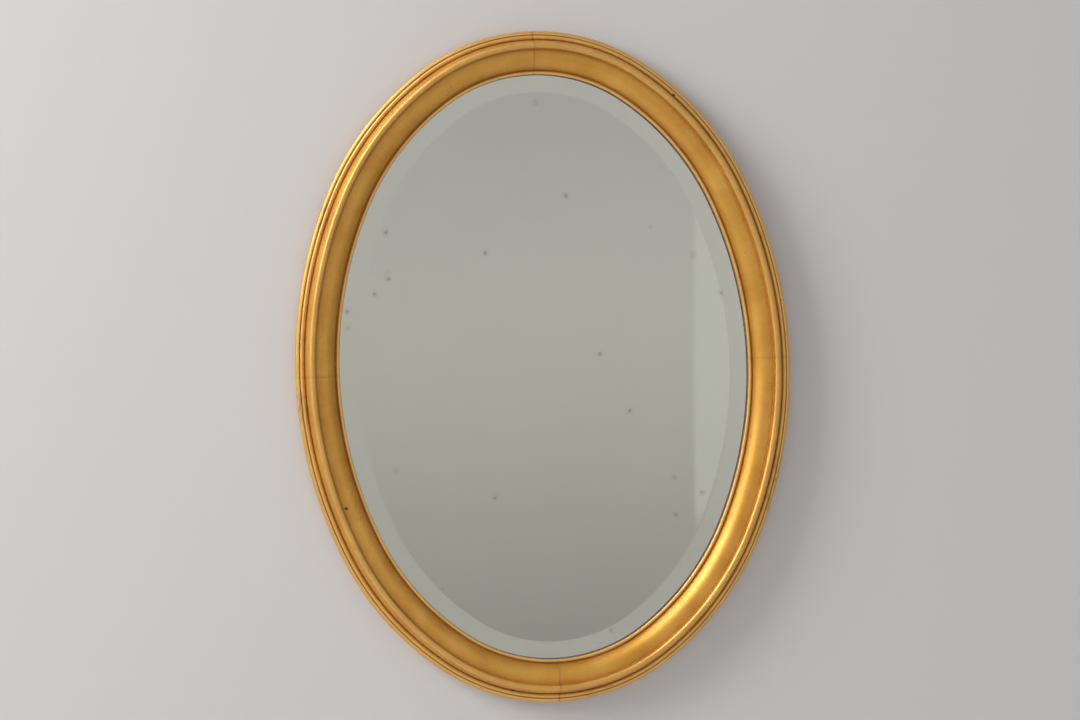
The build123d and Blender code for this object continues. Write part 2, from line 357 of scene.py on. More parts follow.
# %% Values of the section
moulding_width, frame_depth, glass_lap, glass_clearance = 0.052, 0.036, 0.005, 0.002
side_taper, side_height = 0.0012, 0.0105
shoulder_width, shoulder_height, shoulder_radius = 0.0044, 0.015, 0.0046
outer_quirk_width, outer_quirk_depth = 0.0012, 0.001
bead_radius, bead_foot = 0.0026, 0.0005
scotia_width, scotia_top, scotia_radius = 0.005, 0.0285, 0.022
ridge_radius, ridge_wrap, ridge_wall_slope = 0.0036, 25.0, 0.0008
cove_step, cove_top, cove_foot, cove_radius = 0.001, 0.0273, 0.0142, 0.0195
lip_quirk_width, lip_quirk_depth, lip_radius = 0.001, 0.001, 0.002
softened_corner = 0.00018
board_thickness, card_thickness, silver_thickness = 0.004, 0.0015, 0.0002
glass_thickness, bevel_width, bevel_drop, seat_gap = 0.005, 0.025, 0.002, 0.0002
outer_edge = moulding_width - glass_lap
glass_back = board_thickness + card_thickness + silver_thickness
rabbet_depth = glass_back + glass_thickness - bevel_drop * (1 - glass_lap / bevel_width) + seat_gap


# %% Drawing lines and arcs as points
def line(first, last, step=0.0011):
    first, last = Vector(first), Vector(last)
    count = max(1, math.ceil((last - first).length / step))
    return [first.lerp(last, i / count) for i in range(count + 1)]


def arc_about(centre, radius, first, last, step=0.00045):
    count = max(4, math.ceil(radius * abs(math.radians(last - first)) / step))
    turns = [math.radians(first + (last - first) * i / count) for i in range(count + 1)]
    return [Vector(centre) + radius * Vector((math.cos(t), math.sin(t))) for t in turns]


def arc_between(first, last, radius, bulge, step=0.0006):
    """An arc of a given radius between two points. bulge is 1 to the left of the way there, or -1."""
    first, last = Vector(first), Vector(last)
    chord = last - first
    left = Vector((-chord.y, chord.x)).normalized()
    centre = (first + last) / 2 - bulge * left * math.sqrt(radius**2 - (chord.length / 2) ** 2)
    begin = math.atan2(*(first - centre).yx)
    sweep = (math.atan2(*(last - centre).yx) - begin + math.pi) % (2 * math.pi) - math.pi
    return arc_about(centre, radius, math.degrees(begin), math.degrees(begin + sweep), step)


def rounded(points, corner, reach, steps=3):
    """Softens the corner at one point, as gesso does, with a short curve that stays inside it."""
    at = min(range(len(points)), key=lambda i: (points[i] - Vector(corner)).length)
    before = points[at] + (points[at - 1] - points[at]).normalized() * reach
    after = points[at] + (points[at + 1] - points[at]).normalized() * reach
    weights = [i / steps for i in range(steps + 1)]
    curve = [before * (1 - w) ** 2 + points[at] * 2 * w * (1 - w) + after * w**2 for w in weights]
    return points[:at] + curve + points[at + 1:]


# %% The outline, from the back of the side round to the rabbet
quirk_x, quirk_y = outer_edge - shoulder_width, shoulder_height - outer_quirk_depth
bead_x = quirk_x - outer_quirk_width - bead_radius
scotia_x = bead_x - bead_radius - bead_foot
ridge_x = scotia_x - scotia_width - ridge_radius * math.cos(math.radians(ridge_wrap))
ridge_y = frame_depth - ridge_radius
lip_x = lip_radius - glass_lap
cove_x = lip_x + lip_radius + lip_quirk_width
lip_y = cove_foot - lip_quirk_depth
ridge_arc = arc_about((ridge_x, ridge_y), ridge_radius, -ridge_wrap, 180 + ridge_wrap)
wall_x = ridge_arc[-1].x - ridge_wall_slope
strokes = [
    line((outer_edge - side_taper, 0), (outer_edge, side_height)),
    arc_between((outer_edge, side_height), (quirk_x, shoulder_height), shoulder_radius, -1),
    line((quirk_x, shoulder_height), (quirk_x, quirk_y), 0.0005),
    line((quirk_x, quirk_y), (quirk_x - outer_quirk_width, quirk_y), 0.0004),
    line((quirk_x - outer_quirk_width, quirk_y), (bead_x + bead_radius, shoulder_height), 0.0005),
    arc_about((bead_x, shoulder_height), bead_radius, 0, 180),
    line((bead_x - bead_radius, shoulder_height), (scotia_x, shoulder_height), 0.0003),
    arc_between((scotia_x, shoulder_height), (scotia_x - scotia_width, scotia_top), scotia_radius, -1),
    line((scotia_x - scotia_width, scotia_top), ridge_arc[0], 0.0006),
    ridge_arc,
    line(ridge_arc[-1], (wall_x, cove_top), 0.0006),
    line((wall_x, cove_top), (wall_x - cove_step, cove_top), 0.0005),
    arc_between((wall_x - cove_step, cove_top), (cove_x, cove_foot), cove_radius, -1),
    line((cove_x, cove_foot), (cove_x, lip_y), 0.0005),
    line((cove_x, lip_y), (lip_x + lip_radius, lip_y), 0.0005),
    line((lip_x + lip_radius, lip_y), (lip_x + lip_radius, cove_foot), 0.0005),
    arc_about((lip_x, cove_foot), lip_radius, 0, 180),
    line((-glass_lap, cove_foot), (-glass_lap, rabbet_depth), 0.0012),
    line((-glass_lap, rabbet_depth), (glass_clearance, rabbet_depth), 0.002),
    line((glass_clearance, rabbet_depth), (glass_clearance, 0), 0.002),
    line((glass_clearance, 0), (outer_edge - side_taper, 0), 0.004),
]
outline = []
for stroke in strokes:
    outline += [p for p in stroke if not outline or (p - outline[-1]).length > 1e-6]
outline.pop()
for corner in ((quirk_x, shoulder_height), (wall_x, cove_top), (wall_x - cove_step, cove_top),
               (cove_x, cove_foot), (outer_edge - side_taper, 0)):
    outline = rounded(outline, corner, softened_corner)
widths, heights = [p.x for p in outline], [p.y for p in outline]
print(len(outline), "points, widths", round(min(widths), 4), round(max(widths), 4),
      "heights", round(min(heights), 4), round(max(heights), 4))


# %% [markdown]
# ## Wear and painted highlight on the crests, dirt and painted shade in the hollows
# Gold wears off what stands proud and dirt gathers in what lies deep; the crests also get a painted highlight
# and the hollows painted shade. Both follow from the section: over a short stretch to each side, the outline
# turns one way on a crest and the other way in a quirk. The amount of turn becomes two values on the points
# of the section, which the materials read later.

# %% Wear and hollows from the turn of the outline
def turn_at(index, reach):
    """How far the outline turns within a reach on both sides of a point: positive on a crest."""
    def walk(step):
        left, at = reach, index
        while left > 0:
            following = (at + step) % len(outline)
            left -= (outline[following] - outline[at]).length
            at = following
        return outline[at]
    here = outline[index]
    coming, going = here - walk(-1), walk(1) - here
    return math.atan2(coming.x * going.y - coming.y * going.x, coming.dot(going))


wear_reach, leaf_edge, sight_edge = 0.0012, 0.0012, 0.0002


def is_gilded(point):
    """Leaf covers the front and the side. The back, the rabbet and the edge above the glass stay bare."""
    out_of_rabbet = point.x > glass_clearance + 1e-5 or point.y > rabbet_depth + leaf_edge
    return point.y > leaf_edge and point.x > sight_edge - glass_lap and out_of_rabbet


crest_sign = 1 if sum(turn_at(i, 0.001) for i in range(len(outline))) > 0 else -1
near_turns = [crest_sign * turn_at(i, wear_reach) for i in range(len(outline))]
crest_of = [max(0.0, min(1.0, (t - 0.12) / 0.75)) for t in near_turns]
hollow_of = [max(0.0, min(1.0, (-t - 0.10) / 0.7)) for t in near_turns]
gilt_of = [float(is_gilded(p)) for p in outline]
print("crests", sum(c > 0.5 for c in crest_of), "hollows", sum(h > 0.5 for h in hollow_of),
      "gilded", int(sum(gilt_of)), "of", len(outline))

# %% [markdown]
# ## Running the moulding
# A plasterer drags a shaped plate along a rail. Curve to Mesh does the same: the section follows a quarter
# of the oval. The real frame is glued up from four such segments, so there are four meshes that meet at
# the joints. The values of the section travel along, and a fixed noise presses the surface in by up to a
# few hundredths of a millimetre, which is what makes hand-laid gesso glint unevenly.

# %% A line of points, with values on them
def mesh_object(name, points, edges, faces):
    """An object made from plain lists of points, edges and faces."""
    mesh = bpy.data.meshes.new(name)
    mesh.from_pydata(points, edges, faces)
    mesh.update()
    return in_scene(name, mesh)


def line_of(name, points, closed, **values):
    """A mesh of points and edges, which a tree turns into a curve. Its values ride on the points."""
    edges = [(i, i + 1) for i in range(len(points) - 1)]
    holder = mesh_object(name, points, edges + ([(len(points) - 1, 0)] if closed else []), [])
    for key, numbers in values.items():
        holder.data.attributes.new(key, "FLOAT", "POINT").data.foreach_set("value", numbers)
    return holder


section = line_of(
    "moulding_section", [(p.x, -p.y, 0.0) for p in outline], True,
    crest=crest_of, hollow=hollow_of, gilt=gilt_of,
    across=[(p.x + glass_lap) / moulding_width for p in outline],
)


# %% The tree that runs a section along a path
def new_tree(name, inputs):
    """A geometry tree with a geometry input and output and further named inputs."""
    geometry = ("Geometry", "Geometry")
    return new_group(name, [geometry + (None,)] + inputs, [geometry], "GeometryNodeTree")


def finish_tree(tree, geometry, material, end):
    """Ends a tree as every tree here ends: real geometry, and one material."""
    real = add_node(tree, "GeometryNodeRealizeInstances", Geometry=geometry)
    painted = add_node(tree, "GeometryNodeSetMaterial", Geometry=real.outputs[0], Material=material)
    tree.links.new(painted.outputs[0], end["Geometry"])


run_tree, start, end = new_tree("run_moulding", [
    ("Section", "Object", None), ("Unevenness", "Float", 0.00006), ("Seed", "Float", 0.0),
    ("Finish", "Material", None),
])
rail_curve = add_node(run_tree, "GeometryNodeMeshToCurve", Mesh=start["Geometry"])
rail = add_node(run_tree, "GeometryNodeSetCurveNormal", {"mode": "Z_UP"}, Curve=rail_curve.outputs[0])
shape = add_node(run_tree, "GeometryNodeObjectInfo", Object=start["Section"])
section_curve = add_node(run_tree, "GeometryNodeMeshToCurve", Mesh=shape.outputs["Geometry"])
swept = add_node(
    run_tree, "GeometryNodeCurveToMesh", Curve=rail.outputs[0],
    Profile_Curve=section_curve.outputs[0], Fill_Caps=True,
)
outwards = add_node(run_tree, "GeometryNodeFlipFaces", Mesh=swept.outputs[0])
upright_mesh = add_node(
    run_tree, "GeometryNodeTransform", Geometry=outwards.outputs[0], Rotation=(math.pi / 2, 0.0, 0.0),
)
place = add_node(run_tree, "GeometryNodeInputPosition").outputs[0]
noise = add_node(
    run_tree, "ShaderNodeTexNoise", {"noise_dimensions": "4D"}, Vector=place, W=start["Seed"],
    Scale=130.0, Detail=3.0,
)
gilt = add_node(run_tree, "GeometryNodeInputNamedAttribute", {"data_type": "FLOAT"}, Name="gilt").outputs[0]
depth = times(run_tree, times(run_tree, noise.outputs[0], start["Unevenness"]), gilt)
inward = add_node(
    run_tree, "ShaderNodeVectorMath", {"operation": "SCALE"},
    Vector=add_node(run_tree, "GeometryNodeInputNormal").outputs[0],
    Scale=times(run_tree, depth, -1.0),
)
pressed = add_node(
    run_tree, "GeometryNodeSetPosition", Geometry=upright_mesh.outputs[0], Offset=inward.outputs[0],
)
finish_tree(run_tree, pressed.outputs[0], start["Finish"], end)


# %% From a tree to a plain mesh
def set_input(modifier, name, value):
    """Fills one named input of the modifier's tree, by the identifier of its socket."""
    for item in modifier.node_group.interface.items_tree:
        if item.item_type == "SOCKET" and item.in_out == "INPUT" and item.name == name:
            modifier[item.identifier] = value


def made_by_tree(name, holder, tree, **inputs):
    """Runs a tree on an object and returns the result as a plain mesh object at the origin."""
    modifier = holder.modifiers.new(tree.name, "NODES")
    modifier.node_group = tree
    for key, value in inputs.items():
        set_input(modifier, key.replace("_", " "), value)
    evaluated = holder.evaluated_get(bpy.context.evaluated_depsgraph_get())
    mesh = bpy.data.meshes.new_from_object(evaluated)
    bpy.data.objects.remove(holder)
    return in_scene(name, mesh)


def volume_of(mesh):
    """Signed volume: positive when the faces point outwards."""
    mesh.calc_loop_triangles()
    corners = [[mesh.vertices[i].co for i in t.vertices] for t in mesh.loop_triangles]
    return sum(a.dot(b.cross(c)) for a, b, c in corners) / 6


def finish_shell(mesh, sharp_degrees):
    """Turns a closed mesh outwards, and smooths it except where two faces meet at more than an angle."""
    if volume_of(mesh) < 0:
        mesh.flip_normals()
    mesh.shade_smooth()
    mesh.set_sharp_from_angle(angle=math.radians(sharp_degrees))


# %% [markdown]
# ## Gold leaf
# Leaf gold over red clay. The leaf is laid in small squares that overlap, the quirks are painted darker
# brown, partly as dirt and partly as painted shade, and fine dark flecks lie all over. The crests get a
# painted highlight, a pale colour, with ragged streaks where they are rubbed through to the clay, and a thin
# coat of old varnish softens the shine. It isn't
# a clean metal: worn leaf is part metal, part matt clay and old size, so the shader is only partly metallic.
# Bare wood shows at the back and in the rabbet, where no gold was ever laid.

# %% The gilding
leaf_pale, leaf_deep = linear(228, 174, 78), linear(204, 143, 44)
# The second colour below is the dark brown of dirt and painted shade in the quirks, and of the joints.
bole_red, dirt_and_shade_brown = linear(146, 84, 44), linear(98, 66, 34)
gilding, tree, shader = new_material(
    "gilded_wood_worn", Metallic=0.8, Roughness=0.4, Coat_Weight=0.6, Coat_Roughness=0.34,
)
spot = object_place(tree)
clouds = use_group(tree, mottle, Place=spot, Scale=26.0, Contrast=0.45)
leaf = mix_colours(tree, clouds["Mask"], leaf_deep, leaf_pale)
run, across, crest, hollow, gilt, joint_line = [
    attribute(tree, name) for name in ("run", "across", "crest", "hollow", "gilt", "joint")
]

# Overlaps of the leaves: a slightly deeper line, a little ragged, every 68 mm across the moulding
leaf_length = 0.068
jitter = soft_noise(tree, spot, 60.0, 4.0)
ragged_run = plus(tree, run, times(tree, jitter, 0.004))
lap = math_node(tree, "FRACT", math_node(tree, "DIVIDE", ragged_run, leaf_length))
lap_line = remap(tree, distance_from(tree, lap, 0.5), 0.0, 0.02, 0.1, 0.0)
leaf = mix_colours(tree, lap_line, leaf, linear(176, 112, 44))

# Rubbing and a painted highlight: the crests painted pale, ragged streaks of clay along the moulding, and
# worn patches on its outer members
streak_place = add_node(tree, "ShaderNodeCombineXYZ", X=times(tree, run, 0.25),
                        Y=times(tree, across, moulding_width)).outputs[0]
streaks = soft_noise(tree, streak_place, 420.0, 6.0)
rub = remap(tree, plus(tree, times(tree, crest, 0.05), streaks), 0.62, 0.80)
# Painted highlight: a pale colour laid on the crests of the section.
crest_painted_highlight = glaze(tree, crest, 0.75, leaf, linear(246, 208, 132))
rubbed = glaze(tree, rub, 0.28, crest_painted_highlight, bole_red)
old_patches = use_group(tree, mottle, Place=spot, Scale=13.0, Contrast=0.9)["Mask"]
outer_members = remap(tree, across, 0.45, 0.8)
worn_patch = times(tree, remap(tree, old_patches, 0.72, 1.0), outer_members)
worn_patch = times(tree, worn_patch, remap(tree, streaks, 0.42, 0.6))
rubbed = glaze(tree, worn_patch, 0.5, rubbed, bole_red)

# Darker brown in the quirks, partly dirt and partly painted shade, thinner in places
quirk_dirt_and_shade = plus(tree, times(tree, hollow, 0.9), times(tree, minus(tree, clouds["Fine"], 0.5), 0.5))
quirk_dirt_and_shade = remap(tree, quirk_dirt_and_shade, 0.35, 1.1)
dirt_and_painted_shade = glaze(tree, quirk_dirt_and_shade, 0.6, rubbed, dirt_and_shade_brown)

# Flecks and a few chips down to the clay
flecks = use_group(tree, speckle, Place=spot, Scale=330.0, Size=0.22, Share=0.2)["Mask"]
chips = use_group(tree, speckle, Place=spot, Scale=90.0, Size=0.17, Share=0.03)["Mask"]
flecked = glaze(tree, flecks, 0.4, dirt_and_painted_shade, bole_red)
chipped = glaze(tree, chips, 0.9, flecked, linear(66, 36, 20))

# The bare back: old limewood along the chord of each segment
fibres = use_group(tree, grain, Place=attribute(tree, "chord", "Vector"), Scale=70.0)
wood = mix_colours(tree, fibres["Figure"], linear(122, 86, 54), linear(176, 136, 92))
wood = glaze(tree, fibres["Pores"], 0.35, wood, linear(78, 52, 32))
tide = remap(tree, plus(tree, gilt, times(tree, jitter, 0.5)), 0.7, 0.8)
finish_colour = mix_colours(tree, tide, wood, chipped)
finish_colour = glaze(tree, joint_line, 0.16, finish_colour, dirt_and_shade_brown)
tree.links.new(finish_colour, shader.inputs["Base Color"])

# Matt where the clay, the dirt and painted shade of the quirks, and the wood show, brighter where the leaf is
# whole
matt = largest(tree, times(tree, rub, 0.6), quirk_dirt_and_shade, chips, times(tree, flecks, 0.6))
whole = times(tree, minus(tree, 1.0, matt, True), tide)
tree.links.new(remap(tree, whole, 0.0, 1.0, 0.05, 0.82), shader.inputs["Metallic"])
sheen_swing = times(tree, minus(tree, clouds["Fine"], 0.5), 0.3)
rough = plus(tree, remap(tree, whole, 0.0, 1.0, 0.72, 0.48), sheen_swing, True)
tree.links.new(rough, shader.inputs["Roughness"])
lost = plus(tree, times(tree, chips, 1.2), times(tree, rub, 0.2))
relief = minus(tree, times(tree, clouds["Fine"], 0.5), lost)
relief = plus(tree, relief, times(tree, streaks, 0.5))
bump(tree, shader, relief, 0.35, 0.0003)
print("gilding has", len(tree.nodes), "nodes")

# %% Four segments of moulding
segment_starts = {"top_right": 0, "top_left": 90, "bottom_left": 180, "bottom_right": 270}
run_step, joint_half_width = 0.0022, 0.0012
for number, (corner, begin) in enumerate(segment_starts.items()):
    directions = oval_directions(math.radians(begin), math.radians(begin + 90), run_step)
    path = [edge_point(d)[0] for d in directions]
    lengths = [0.0]
    for before, after in zip(path, path[1:]):
        lengths.append(lengths[-1] + (after - before).length)
    joint_mask = [max(0.0, 1 - min(s, lengths[-1] - s) / joint_half_width) for s in lengths]
    rail_holder = line_of("rail_" + corner, [(p.x, p.y, 0.0) for p in path], False,
                          run=lengths, joint=joint_mask)
    segment = made_by_tree("gilded_segment_" + corner, rail_holder, run_tree,
                           Section=section, Seed=float(number), Finish=gilding)
    segment.data.transform(Matrix.Translation((0, back_y, 0)))
    finish_shell(segment.data, sharp_degrees=38)
    lie = math.radians(begin + 135)
    chord_axes = Matrix(((math.cos(lie), 0, math.sin(lie)), (-math.sin(lie), 0, math.cos(lie)), (0, 1, 0)))
    along_chord = [v for vertex in segment.data.vertices for v in chord_axes @ vertex.co]
    segment.data.attributes.new("chord", "FLOAT_VECTOR", "POINT").data.foreach_set("vector", along_chord)
    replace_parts(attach(segment, "mirror"), "frame_segment_" + corner)
    print(segment.name, len(segment.data.polygons), "faces,", round(volume_of(segment.data) * 1e6, 1), "cm3")
bpy.data.objects.remove(section)

# %% [markdown]
# ## Bevelled glass
# A 5 mm plate whose last 25 mm slope down by 2 mm. The slope is what bends the reflected room aside and
# draws the pale line round the mirror. The plate is made as rings of points along the oval, so that its
# slope is as smooth as ground glass. It is clear: the picture comes from the silver behind it.

# %% Rings along the oval, skinned into a plate
def ring(outwards, height, step=0.004):
    directions = oval_directions(0.0, 2 * math.pi, step)[:-1]
    ends = [edge_point(d) for d in directions]
    return [(p.x + o.x * outwards, back_y - height, p.y + o.y * outwards) for p, o in ends]


def plate_of_rings(name, rings):
    """A closed plate: rings from the back to the front, skinned, with flat caps that shade as flat."""
    count = len(rings[0])
    points = [p for one in rings for p in one]
    faces = [tuple(range(count)), tuple(range((len(rings) - 1) * count, len(rings) * count))[::-1]]
    for level_number in range(len(rings) - 1):
        low, high = level_number * count, (level_number + 1) * count
        for i in range(count):
            j = (i + 1) % count
            faces.append((low + j, low + i, high + i, high + j))
    piece = mesh_object(name, points, [], faces)
    finish_shell(piece.data, sharp_degrees=1.8)
    print(name, len(faces), "faces, volume", round(volume_of(piece.data) * 1e6, 1), "cm3")
    return piece


# %% The glass and its material
clear_glass, tree, shader = new_material(
    "clear_glass_plate", Roughness=0.0, IOR=1.5, Transmission_Weight=1.0, Metallic=0.0,
)
film = use_group(tree, mottle, Place=object_place(tree), Scale=9.0, Contrast=0.4)
glass_tint = mix_colours(tree, film["Mask"], linear(254, 255, 254), linear(252, 254, 252))
tree.links.new(glass_tint, shader.inputs["Base Color"])
glass_front, rim_front = glass_back + glass_thickness, glass_back + glass_thickness - bevel_drop
back_seam, rim_seam, arris_half = 0.0002, 0.0003, 0.0005
glass = plate_of_rings("bevelled_glass", [
    ring(-back_seam, glass_back + 0.00002), ring(0.0, glass_back + back_seam),
    ring(0.0, rim_front - rim_seam), ring(-rim_seam, rim_front),
    ring(arris_half - bevel_width, glass_front - 0.00004), ring(-arris_half - bevel_width, glass_front),
])
glass.data.materials.append(clear_glass)
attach(glass, "mirror")
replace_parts(glass, "mirror_glass")

# %% [markdown]
# ## Aged silver
# The silver is a metal layer behind the glass, a little grey with age. Damp gets in behind it here and
# there and leaves small dark spots with a soft brown halo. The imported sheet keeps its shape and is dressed.

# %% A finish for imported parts
def dress(material, *names):
    for name in names:
        nodes[name].data.materials.clear()
        nodes[name].data.materials.append(material)
    print(material.name, "on", len(names), "part(s)")


# %% Silver
silvering, tree, shader = new_material("aged_silver", Metallic=1.0, Roughness=0.0)
spot = object_place(tree)
veil = use_group(tree, mottle, Place=spot, Scale=7.0, Contrast=0.3)
silver_colour = mix_colours(tree, veil["Mask"], linear(214, 213, 206), linear(220, 219, 213))
small_spots = use_group(tree, speckle, Place=spot, Scale=60.0, Size=0.15, Share=0.045)["Mask"]
pin_spots = use_group(tree, speckle, Place=spot, Scale=150.0, Size=0.16, Share=0.02)["Mask"]
halo = use_group(tree, speckle, Place=spot, Scale=60.0, Size=0.32, Share=0.045)["Mask"]
silver_colour = glaze(tree, halo, 0.10, silver_colour, linear(120, 112, 96))
silver_colour = glaze(tree, largest(tree, small_spots, pin_spots), 0.34, silver_colour, linear(58, 54, 50))
tree.links.new(silver_colour, shader.inputs["Base Color"])
dress(silvering, "silvering")

# %% [markdown]
# ## The back
# Nobody gilds the back. A brown hardboard closes it, eight brass buttons turn on their screws to let it
# out, and a plate with a ring carries the whole mirror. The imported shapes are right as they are, so they
# only get finishes. Each finish starts from what time does to the stuff: wood darkens, brass dulls to
# brown away from where fingers rub it, card and board gather dust.

# %% Bare wood
bare_wood, tree, shader = new_material("bare_limewood", Roughness=0.7)
turned = add_node(tree, "ShaderNodeMapping", Vector=object_place(tree), Rotation=(0.0, 0.9, 0.0))
fibres = use_group(tree, grain, Place=turned.outputs[0], Scale=80.0)
wood = mix_colours(tree, fibres["Figure"], linear(172, 130, 84), linear(206, 168, 120))
wood = glaze(tree, fibres["Pores"], 0.3, wood, linear(120, 84, 50))
tree.links.new(wood, shader.inputs["Base Color"])
bump(tree, shader, fibres["Pores"], 0.3, 0.0003)
dress(bare_wood, *["joint_tongue_" + side for side in ("right", "top", "left", "bottom")])


# %% Clouds and specks: what board, card, cork and dull metal have in common
def clouds_and_specks(tree, spot, clouds, dark, light, specks, speck_colour, share):
    """The colour, the fine cloud, the broad cloud and the specks of a stuff, from its own values."""
    cloud = use_group(tree, mottle, Place=spot, Scale=clouds[0], Contrast=clouds[1])
    marks = use_group(tree, speckle, Place=spot, Scale=specks[0], Size=specks[1], Share=specks[2])["Mask"]
    colour = mix_colours(tree, cloud["Mask"], dark, light)
    colour = glaze(tree, marks, share, colour, speck_colour)
    return colour, cloud["Fine"], cloud["Mask"], marks


# %% Board
hardboard, tree, shader = new_material("aged_hardboard", Roughness=0.62)
spot = object_place(tree)
pulp, fine, _, chaff = clouds_and_specks(
    tree, spot, (11.0, 0.22), linear(116, 84, 56), linear(136, 102, 70),
    (420.0, 0.3, 0.4), linear(84, 58, 38), 0.35,
)
stain = remap(tree, use_group(tree, mottle, Place=spot, Scale=3.2, Contrast=0.5)["Mask"], 0.6, 0.9)
pulp = glaze(tree, stain, 0.3, pulp, linear(92, 66, 46))
settled = use_group(tree, dust, Place=spot, Amount=0.35)["Mask"]
tree.links.new(mix_colours(tree, settled, pulp, linear(160, 150, 136)), shader.inputs["Base Color"])
tree.links.new(remap(tree, fine, 0.3, 0.7, 0.52, 0.72), shader.inputs["Roughness"])
bump(tree, shader, plus(tree, fine, chaff), 0.3, 0.0002)
dress(hardboard, "back_board")

# %% Card and cork
card, tree, shader = new_material("grey_card", Roughness=0.9)
pulp, fine, _, _ = clouds_and_specks(
    tree, object_place(tree), (14.0, 0.35), linear(150, 136, 112), linear(170, 156, 130),
    (260.0, 0.25, 0.2), linear(104, 90, 72), 0.4,
)
tree.links.new(pulp, shader.inputs["Base Color"])
bump(tree, shader, fine, 0.25, 0.0002)
dress(card, "packing_card")

cork, tree, shader = new_material("cork_slips", Roughness=0.85)
bark, fine, _, pits = clouds_and_specks(
    tree, object_place(tree), (120.0, 0.6), linear(168, 122, 78), linear(200, 156, 108),
    (620.0, 0.3, 0.35), linear(92, 58, 34), 0.6,
)
tree.links.new(bark, shader.inputs["Base Color"])
bump(tree, shader, minus(tree, fine, pits), 0.5, 0.0003)
dress(cork, "glass_packers")

# %% Felt
felt, tree, shader = new_material("dense_felt", Roughness=0.95, Sheen_Weight=0.4, Sheen_Roughness=0.5)
spot = object_place(tree)
cloud = use_group(tree, mottle, Place=spot, Scale=150.0, Contrast=0.6)
hairs = soft_noise(tree, spot, 2600.0, 2.0)
wool = mix_colours(tree, cloud["Mask"], linear(66, 60, 54), linear(92, 84, 76))
wool = mix_colours(tree, remap(tree, hairs, 0.5, 0.8, 0.0, 0.5), wool, linear(126, 118, 108))
tree.links.new(wool, shader.inputs["Base Color"])
bump(tree, shader, plus(tree, hairs, cloud["Fine"]), 0.6, 0.0004)
dress(felt, "wall_pad_left", "wall_pad_right")


# %% Dull metals: one recipe, three sets of values
def dull_metal(name, bright, brown, polish, scratch_scale):
    """Metal that is bright where it is rubbed and brown where it is left alone, with fine scratches."""
    material, tree, shader = new_material(name, Metallic=1.0, Roughness=polish)
    spot = object_place(tree)
    colour, _, rubbed, pits = clouds_and_specks(
        tree, spot, (95.0, 0.75), brown, bright, (700.0, 0.2, 0.25), linear(54, 40, 26), 0.6,
    )
    strokes = add_node(tree, "ShaderNodeMapping", Vector=spot, Rotation=(0.3, 0.5, 0.9),
                       Scale=(1.0, 1.0, 0.04)).outputs[0]
    scratch = remap(tree, soft_noise(tree, strokes, scratch_scale, 2.0), 0.58, 0.72)
    colour = glaze(tree, scratch, 0.35, colour, bright)
    tree.links.new(colour, shader.inputs["Base Color"])
    rough = plus(tree, times(tree, minus(tree, 1.0, rubbed, True), 0.25), polish)
    tree.links.new(plus(tree, rough, times(tree, pits, 0.2), True), shader.inputs["Roughness"])
    bump(tree, shader, minus(tree, scratch, pits), 0.25, 0.0001)
    return material


button_brass = dull_metal("dull_brass", linear(196, 160, 92), linear(126, 96, 54), 0.34, 900.0)
screw_brass = dull_metal("screw_brass", linear(206, 172, 104), linear(142, 112, 64), 0.3, 1300.0)
plated_steel = dull_metal("plated_steel", linear(202, 188, 152), linear(140, 122, 90), 0.26, 1100.0)
dress(button_brass, *["turn_button_" + str(number) for number in range(1, 9)])
dress(plated_steel, "hanger_plate", "hanger_ring")

# %% [markdown]
# ## Slotted screws
# Ten brass screws of one kind hold the buttons and the hanger. One screw is turned as a profile, and a
# tree cuts its slot, sets a copy on each point and turns each slot a different way, because a screw
# driver never leaves two slots alike.

# %% One screw, turned on a lathe
screw_radius, screw_length, screw_point = 0.00175, 0.011, 0.003
head_radius, head_height, head_rim, head_edge = 0.0033, 0.002, 0.0008, 0.00015
crown = [(head_radius * math.cos(t), head_rim + (head_height - head_rim) * math.sin(t))
         for t in (math.radians(90 * i / 8) for i in range(8))]
screw_profile = [(screw_radius, screw_point - screw_length), (screw_radius, 0.0),
                 (head_radius - head_edge, 0.0), (head_radius, head_edge)] + crown


def turned_form(name, profile, foot, top, around=32):
    """A closed form of rings round Z, from a foot point to a top point, both on the axis."""
    points = [(0.0, 0.0, foot)]
    for radius, height in profile:
        points += [(radius * math.cos(t), radius * math.sin(t), height)
                   for t in (2 * math.pi * i / around for i in range(around))]
    points.append((0.0, 0.0, top))
    faces = [(0, 1 + (i + 1) % around, 1 + i) for i in range(around)]
    for level_number in range(len(profile) - 1):
        low = 1 + level_number * around
        for i in range(around):
            j = (i + 1) % around
            faces.append((low + i, low + j, low + around + j, low + around + i))
    last = len(points) - 1
    faces += [(last, last - around + i, last - around + (i + 1) % around) for i in range(around)]
    form = mesh_object(name, points, [], faces)
    print(name, "volume", round(volume_of(form.data) * 1e9, 1), "mm3")
    return form


screw_form = turned_form("screw_form", screw_profile, -screw_length, head_height)

# %% The tree that cuts the slot and sets the screws
screw_tree, start, end = new_tree("set_screws", [
    ("Screw", "Object", None), ("Slot Width", "Float", 0.0008), ("Slot Floor", "Float", 0.0011),
    ("Seed", "Int", 3), ("Finish", "Material", None),
])
one = add_node(screw_tree, "GeometryNodeObjectInfo", Object=start["Screw"]).outputs["Geometry"]
cutter_length, cutter_height = 0.01, 0.004
cutter_size = add_node(screw_tree, "ShaderNodeCombineXYZ",
                       X=cutter_length, Y=start["Slot Width"], Z=cutter_height)
cutter = add_node(screw_tree, "GeometryNodeMeshCube", Size=cutter_size.outputs[0])
cutter_middle = plus(screw_tree, start["Slot Floor"], cutter_height / 2)
lift = add_node(screw_tree, "ShaderNodeCombineXYZ", Z=cutter_middle).outputs[0]
raised = add_node(screw_tree, "GeometryNodeTransform", Geometry=cutter.outputs[0], Translation=lift)
slotted = add_node(screw_tree, "GeometryNodeMeshBoolean", {"operation": "DIFFERENCE"},
                   _0=one, _1=raised.outputs[0])
